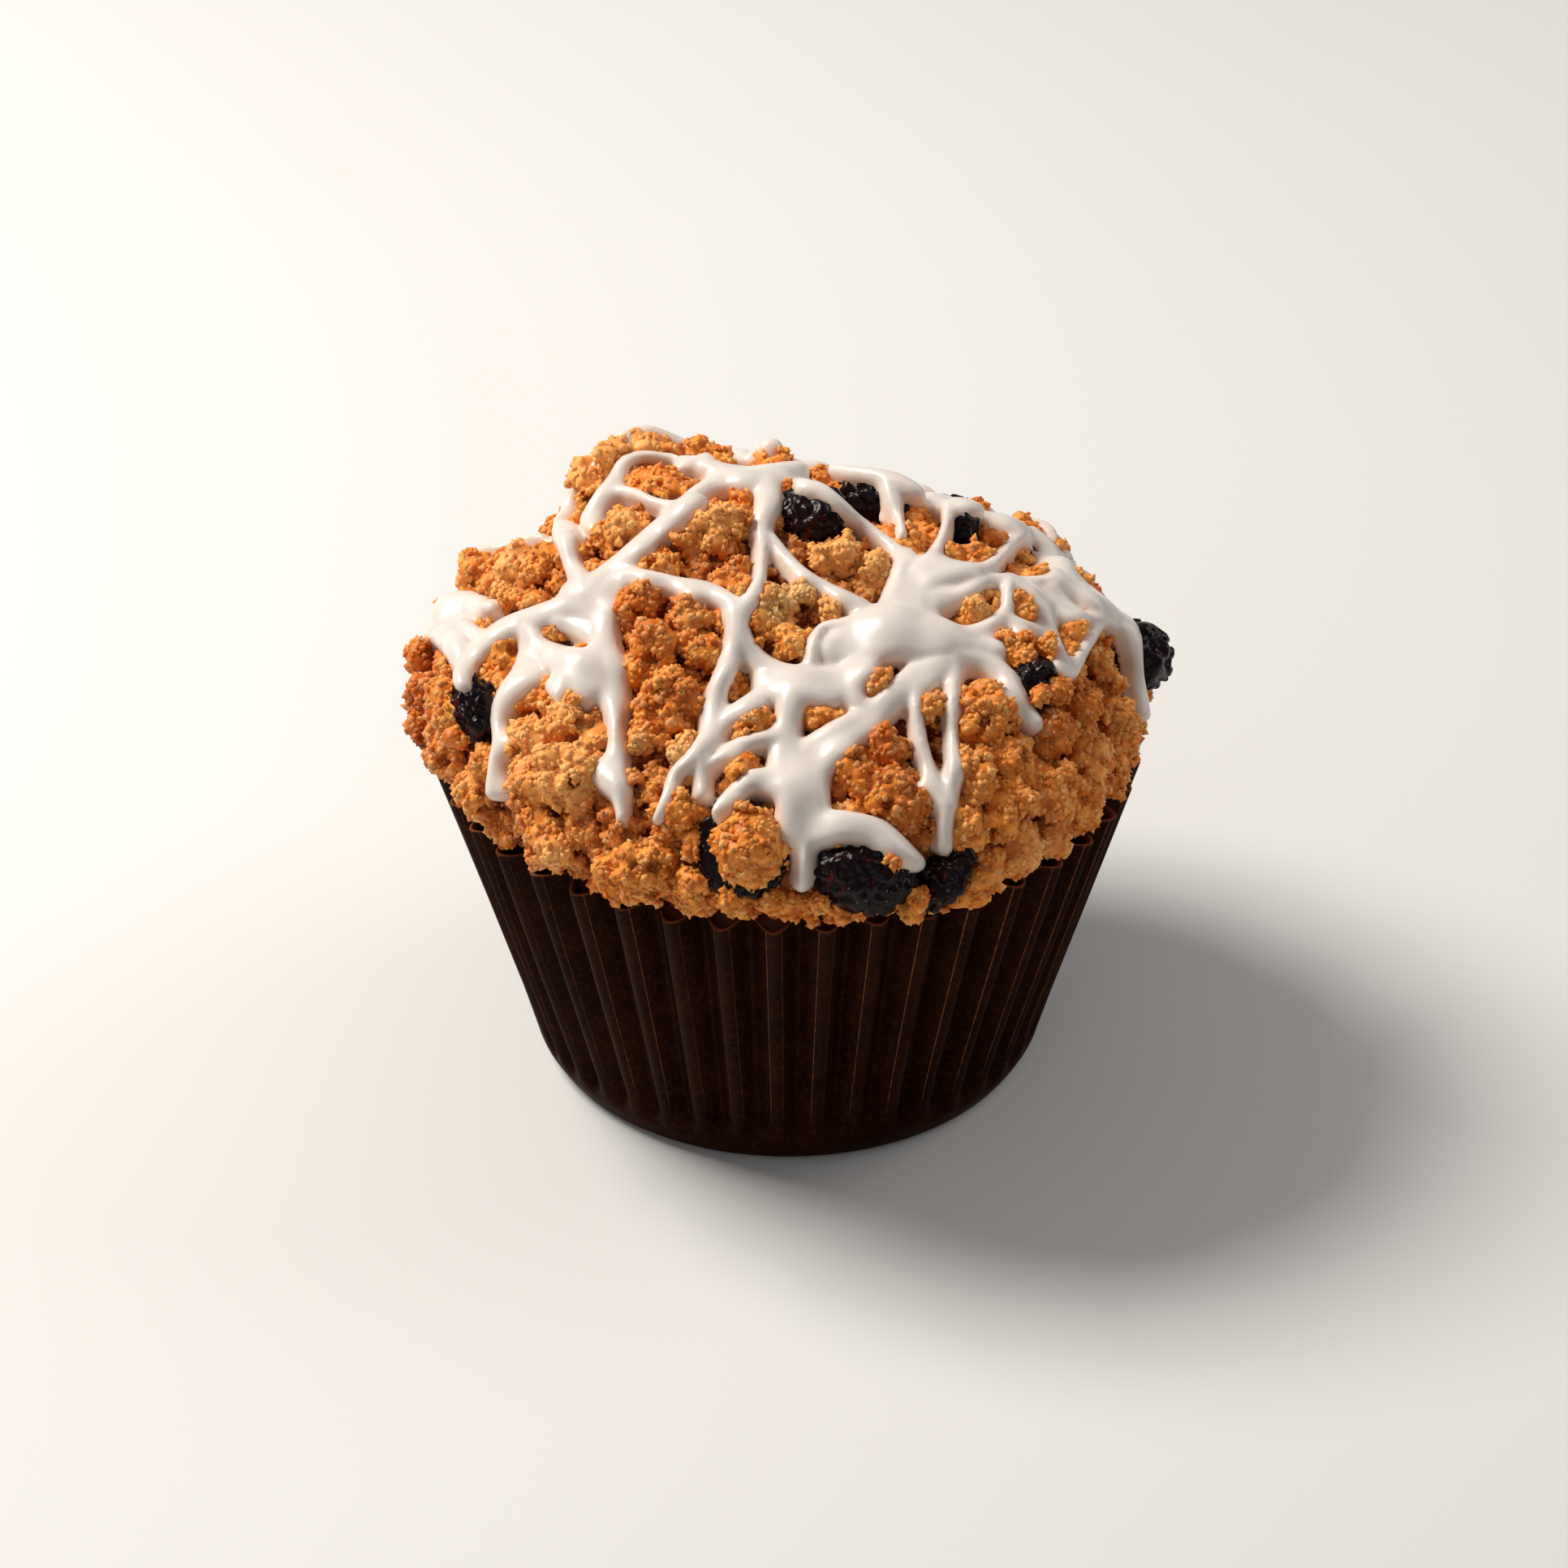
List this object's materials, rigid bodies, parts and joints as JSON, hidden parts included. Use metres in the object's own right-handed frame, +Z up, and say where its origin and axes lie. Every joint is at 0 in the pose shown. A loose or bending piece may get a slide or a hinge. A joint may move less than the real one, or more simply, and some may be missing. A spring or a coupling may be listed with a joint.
{
  "type": "muffin",
  "caption": "Domed streusel muffin with dark berries and a web of sugar icing, standing in a pleated dark paper case.",
  "frame": {"origin": "centre of the paper case's flat base, on the surface it stands on", "axes": "+Z up through the crown, -Y towards the front seen in the picture, +X to the right seen from the front"},
  "size_m": [0.0803, 0.0764, 0.0645],
  "materials": {
    "paper": "dark brown baking paper, slightly waxy",
    "cake": "golden brown streusel crumb with white sugar icing",
    "berry": "dark wrinkled berry skin"
  },
  "bodies": {
    "root": {"paper_case": "paper", "cake": "cake", "berry_1": "berry", "berry_2": "berry", "berry_3": "berry", "berry_4": "berry", "berry_5": "berry", "berry_6": "berry", "berry_7": "berry", "berry_8": "berry", "berry_9": "berry", "berry_10": "berry", "berry_11": "berry", "berry_12": "berry"}
  },
  "joints": []
}
